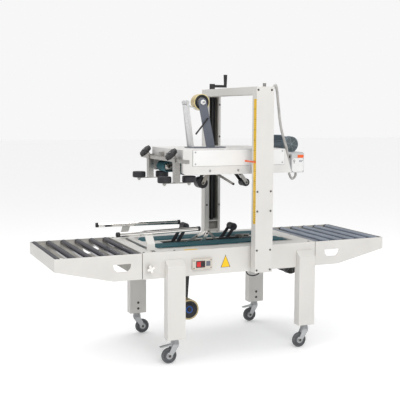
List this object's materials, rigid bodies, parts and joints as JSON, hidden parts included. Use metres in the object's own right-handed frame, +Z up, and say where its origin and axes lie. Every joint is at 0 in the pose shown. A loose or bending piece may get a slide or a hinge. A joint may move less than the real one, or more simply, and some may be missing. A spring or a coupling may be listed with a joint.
{
  "type": "carton sealer machine",
  "caption": "Belt-driven top and bottom carton sealer on castors, with roller extensions at both ends and a crank-raised sealing head on two columns.",
  "frame": {"origin": "on the floor under the middle of the machine", "axes": "+X along the carton's travel, infeed to outfeed; -Y is the operator's side; +Z up"},
  "size_m": [1.77, 0.66, 1.402],
  "materials": {
    "body_paint": "satin light grey powder coat",
    "case_paint": "satin off-white powder coat",
    "belt": "matt dark teal belt",
    "roller_steel": "zinc-plated steel tube",
    "zinc": "bright zinc plate",
    "chrome": "polished chrome",
    "tyre_grey": "dark grey rubber",
    "black_rubber": "soft black rubber",
    "black_plastic": "satin black",
    "tower_blue": "blue-grey hammered paint",
    "motor_blue": "blue-grey enamel",
    "tape": "tan tape wound on a core",
    "control_beige": "beige plastic",
    "switch_red": "red and black switch cap",
    "conduit_grey": "ribbed grey conduit",
    "lever_steel": "bare steel"
  },
  "bodies": {
    "frame": {"bed_frame": "body_paint", "infeed_frame": "body_paint", "outfeed_frame": "body_paint", "column_near": "body_paint", "column_far": "body_paint", "top_beam": "body_paint", "leg_near_left": "body_paint", "leg_near_right": "body_paint", "leg_far_left": "body_paint", "leg_far_right": "body_paint", "control_box": "control_beige", "lower_gearmotor": "black_plastic", "lower_belt_near": "belt", "lower_belt_far": "belt", "lower_cartridge": "lever_steel", "conduit": "conduit_grey"},
    "head": {"head_case": "case_paint", "upper_belt_near": "belt", "upper_belt_far": "belt", "upper_gearmotor": "motor_blue", "tape_tower": "tower_blue", "squeeze_bar": "lever_steel"},
    "crank": {"crank": "black_plastic"},
    "near_screw": {"lead_screw_near": "lever_steel"},
    "infeed_roller_1": {"infeed_roller_1": "roller_steel"},
    "infeed_roller_2": {"infeed_roller_2": "roller_steel"},
    "infeed_roller_3": {"infeed_roller_3": "roller_steel"},
    "infeed_roller_4": {"infeed_roller_4": "roller_steel"},
    "infeed_roller_5": {"infeed_roller_5": "roller_steel"},
    "infeed_roller_6": {"infeed_roller_6": "roller_steel"},
    "outfeed_roller_1": {"outfeed_roller_1": "roller_steel"},
    "outfeed_roller_2": {"outfeed_roller_2": "roller_steel"},
    "outfeed_roller_3": {"outfeed_roller_3": "roller_steel"},
    "outfeed_roller_4": {"outfeed_roller_4": "roller_steel"},
    "outfeed_roller_5": {"outfeed_roller_5": "roller_steel"},
    "outfeed_roller_6": {"outfeed_roller_6": "roller_steel"},
    "castor_fork_near_left": {"castor_fork_near_left": "zinc"},
    "castor_wheel_near_left": {"castor_wheel_near_left": "tyre_grey"},
    "castor_fork_near_right": {"castor_fork_near_right": "zinc"},
    "castor_wheel_near_right": {"castor_wheel_near_right": "tyre_grey"},
    "castor_fork_far_left": {"castor_fork_far_left": "zinc"},
    "castor_wheel_far_left": {"castor_wheel_far_left": "tyre_grey"},
    "castor_fork_far_right": {"castor_fork_far_right": "zinc"},
    "castor_wheel_far_right": {"castor_wheel_far_right": "tyre_grey"},
    "guide_near": {"guide_rail_near": "chrome"},
    "guide_far": {"guide_rail_far": "chrome"},
    "width_knob": {"width_knob": "chrome"},
    "power_switch": {"power_switch": "switch_red"},
    "lower_tape_roll": {"lower_tape_roll": "tape"},
    "lower_front_arm": {"lower_front_arm": "black_rubber"},
    "lower_rear_arm": {"lower_rear_arm": "black_rubber"},
    "upper_tape_roll": {"upper_tape_roll": "tape"},
    "upper_front_arm": {"upper_front_arm": "black_rubber"},
    "upper_rear_arm": {"upper_rear_arm": "black_rubber"},
    "squeeze_post_near": {"squeeze_post_near": "lever_steel"},
    "squeeze_wheel_near_front": {"squeeze_wheel_near_front": "black_rubber"},
    "squeeze_wheel_near_rear": {"squeeze_wheel_near_rear": "black_rubber"},
    "squeeze_post_far": {"squeeze_post_far": "lever_steel"},
    "squeeze_wheel_far_front": {"squeeze_wheel_far_front": "black_rubber"},
    "squeeze_wheel_far_rear": {"squeeze_wheel_far_rear": "black_rubber"}
  },
  "joints": [
    {"name": "head_lift", "type": "slide", "parent": "frame", "child": "head", "axis": [0, 0, 1], "range_m": [-0.17, 0.15], "deforming": ["conduit"]},
    {"name": "crank_turn", "type": "hinge", "parent": "frame", "child": "crank", "pos_m": [0.142, 0.308, 1.338], "axis": [0, 0, 1], "range_deg": [-7655, 6755]},
    {"name": "near_screw_turn", "type": "hinge", "parent": "frame", "child": "near_screw", "pos_m": [0.142, -0.308, 1.3], "axis": [0, 0, 1], "range_deg": [-7655, 6755]},
    {"name": "infeed_roller_1_spin", "type": "hinge", "parent": "frame", "child": "infeed_roller_1", "pos_m": [-0.49, 0, 0.5215], "axis": [0, 1, 0], "continuous": true},
    {"name": "infeed_roller_2_spin", "type": "hinge", "parent": "frame", "child": "infeed_roller_2", "pos_m": [-0.5648, 0, 0.5215], "axis": [0, 1, 0], "continuous": true},
    {"name": "infeed_roller_3_spin", "type": "hinge", "parent": "frame", "child": "infeed_roller_3", "pos_m": [-0.6396, 0, 0.5215], "axis": [0, 1, 0], "continuous": true},
    {"name": "infeed_roller_4_spin", "type": "hinge", "parent": "frame", "child": "infeed_roller_4", "pos_m": [-0.7144, 0, 0.5215], "axis": [0, 1, 0], "continuous": true},
    {"name": "infeed_roller_5_spin", "type": "hinge", "parent": "frame", "child": "infeed_roller_5", "pos_m": [-0.7892, 0, 0.5215], "axis": [0, 1, 0], "continuous": true},
    {"name": "infeed_roller_6_spin", "type": "hinge", "parent": "frame", "child": "infeed_roller_6", "pos_m": [-0.864, 0, 0.5215], "axis": [0, 1, 0], "continuous": true},
    {"name": "outfeed_roller_1_spin", "type": "hinge", "parent": "frame", "child": "outfeed_roller_1", "pos_m": [0.49, 0, 0.5215], "axis": [0, 1, 0], "continuous": true},
    {"name": "outfeed_roller_2_spin", "type": "hinge", "parent": "frame", "child": "outfeed_roller_2", "pos_m": [0.5648, 0, 0.5215], "axis": [0, 1, 0], "continuous": true},
    {"name": "outfeed_roller_3_spin", "type": "hinge", "parent": "frame", "child": "outfeed_roller_3", "pos_m": [0.6396, 0, 0.5215], "axis": [0, 1, 0], "continuous": true},
    {"name": "outfeed_roller_4_spin", "type": "hinge", "parent": "frame", "child": "outfeed_roller_4", "pos_m": [0.7144, 0, 0.5215], "axis": [0, 1, 0], "continuous": true},
    {"name": "outfeed_roller_5_spin", "type": "hinge", "parent": "frame", "child": "outfeed_roller_5", "pos_m": [0.7892, 0, 0.5215], "axis": [0, 1, 0], "continuous": true},
    {"name": "outfeed_roller_6_spin", "type": "hinge", "parent": "frame", "child": "outfeed_roller_6", "pos_m": [0.864, 0, 0.5215], "axis": [0, 1, 0], "continuous": true},
    {"name": "castor_near_left_swivel", "type": "hinge", "parent": "frame", "child": "castor_fork_near_left", "pos_m": [-0.3105, -0.2795, 0.1], "axis": [0, 0, 1], "continuous": true},
    {"name": "castor_near_left_spin", "type": "hinge", "parent": "castor_fork_near_left", "child": "castor_wheel_near_left", "pos_m": [-0.3405, -0.2795, 0.0375], "axis": [0, 1, 0], "continuous": true},
    {"name": "castor_near_right_swivel", "type": "hinge", "parent": "frame", "child": "castor_fork_near_right", "pos_m": [0.4015, -0.2795, 0.1], "axis": [0, 0, 1], "continuous": true},
    {"name": "castor_near_right_spin", "type": "hinge", "parent": "castor_fork_near_right", "child": "castor_wheel_near_right", "pos_m": [0.3715, -0.2795, 0.0375], "axis": [0, 1, 0], "continuous": true},
    {"name": "castor_far_left_swivel", "type": "hinge", "parent": "frame", "child": "castor_fork_far_left", "pos_m": [-0.3105, 0.2795, 0.1], "axis": [0, 0, 1], "continuous": true},
    {"name": "castor_far_left_spin", "type": "hinge", "parent": "castor_fork_far_left", "child": "castor_wheel_far_left", "pos_m": [-0.2805, 0.2795, 0.0375], "axis": [0, 1, 0], "continuous": true},
    {"name": "castor_far_right_swivel", "type": "hinge", "parent": "frame", "child": "castor_fork_far_right", "pos_m": [0.4015, 0.2795, 0.1], "axis": [0, 0, 1], "continuous": true},
    {"name": "castor_far_right_spin", "type": "hinge", "parent": "castor_fork_far_right", "child": "castor_wheel_far_right", "pos_m": [0.3715, 0.2795, 0.0375], "axis": [0, 1, 0], "continuous": true},
    {"name": "guide_near_slide", "type": "slide", "parent": "frame", "child": "guide_near", "axis": [0, 1, 0], "range_m": [-0.03, 0.07]},
    {"name": "guide_far_slide", "type": "slide", "parent": "frame", "child": "guide_far", "axis": [0, 1, 0], "range_m": [-0.071, 0.031]},
    {"name": "width_knob_turn", "type": "hinge", "parent": "frame", "child": "width_knob", "pos_m": [-0.436, -0.28, 0.463], "axis": [0, 1, 0], "range_deg": [-545, 1265]},
    {"name": "power_switch_rock", "type": "hinge", "parent": "frame", "child": "power_switch", "pos_m": [-0.178, -0.2794, 0.4655], "axis": [0, 0, 1], "range_deg": [-5, 5]},
    {"name": "lower_tape_roll_spin", "type": "hinge", "parent": "frame", "child": "lower_tape_roll", "pos_m": [-0.125, 0.01, 0.178], "axis": [0, 1, 0], "continuous": true},
    {"name": "lower_front_arm_swing", "type": "hinge", "parent": "frame", "child": "lower_front_arm", "pos_m": [-0.215, 0.01, 0.5], "axis": [0, 1, 0], "range_deg": [0, 42], "stiffness_Nm_per_rad": 6, "springref_deg": -28.65},
    {"name": "lower_rear_arm_swing", "type": "hinge", "parent": "frame", "child": "lower_rear_arm", "pos_m": [0.045, 0.01, 0.5], "axis": [0, 1, 0], "range_deg": [0, 42]},
    {"name": "upper_tape_roll_spin", "type": "hinge", "parent": "head", "child": "upper_tape_roll", "pos_m": [-0.06, 0.01, 1.244], "axis": [0, 1, 0], "continuous": true},
    {"name": "upper_front_arm_swing", "type": "hinge", "parent": "head", "child": "upper_front_arm", "pos_m": [-0.165, 0.01, 0.925], "axis": [0, -1, 0], "range_deg": [0, 30], "stiffness_Nm_per_rad": 4, "springref_deg": -17.19},
    {"name": "upper_rear_arm_swing", "type": "hinge", "parent": "head", "child": "upper_rear_arm", "pos_m": [0.095, 0.01, 0.925], "axis": [0, -1, 0], "range_deg": [0, 30]},
    {"name": "squeeze_post_near_slide", "type": "slide", "parent": "head", "child": "squeeze_post_near", "axis": [0, 1, 0], "range_m": [-0.09, 0.06]},
    {"name": "squeeze_wheel_near_front_spin", "type": "hinge", "parent": "squeeze_post_near", "child": "squeeze_wheel_near_front", "pos_m": [-0.325, -0.176, 0.868], "axis": [0, 0, 1], "continuous": true},
    {"name": "squeeze_wheel_near_rear_spin", "type": "hinge", "parent": "squeeze_post_near", "child": "squeeze_wheel_near_rear", "pos_m": [-0.197, -0.176, 0.868], "axis": [0, 0, 1], "continuous": true},
    {"name": "squeeze_post_far_slide", "type": "slide", "parent": "head", "child": "squeeze_post_far", "axis": [0, 1, 0], "range_m": [-0.06, 0.08]},
    {"name": "squeeze_wheel_far_front_spin", "type": "hinge", "parent": "squeeze_post_far", "child": "squeeze_wheel_far_front", "pos_m": [-0.325, 0.196, 0.868], "axis": [0, 0, 1], "continuous": true},
    {"name": "squeeze_wheel_far_rear_spin", "type": "hinge", "parent": "squeeze_post_far", "child": "squeeze_wheel_far_rear", "pos_m": [-0.197, 0.196, 0.868], "axis": [0, 0, 1], "continuous": true}
  ],
  "couplings": [
    {"joint": "crank_turn", "follows": "head_lift", "rad_per_m": 785.4},
    {"joint": "near_screw_turn", "follows": "head_lift", "rad_per_m": 785.4},
    {"joint": "guide_far_slide", "follows": "guide_near_slide", "ratio": -1},
    {"joint": "width_knob_turn", "follows": "guide_near_slide", "rad_per_m": 314.16},
    {"joint": "lower_rear_arm_swing", "follows": "lower_front_arm_swing", "ratio": 0.95},
    {"joint": "upper_rear_arm_swing", "follows": "upper_front_arm_swing", "ratio": 0.95}
  ]
}
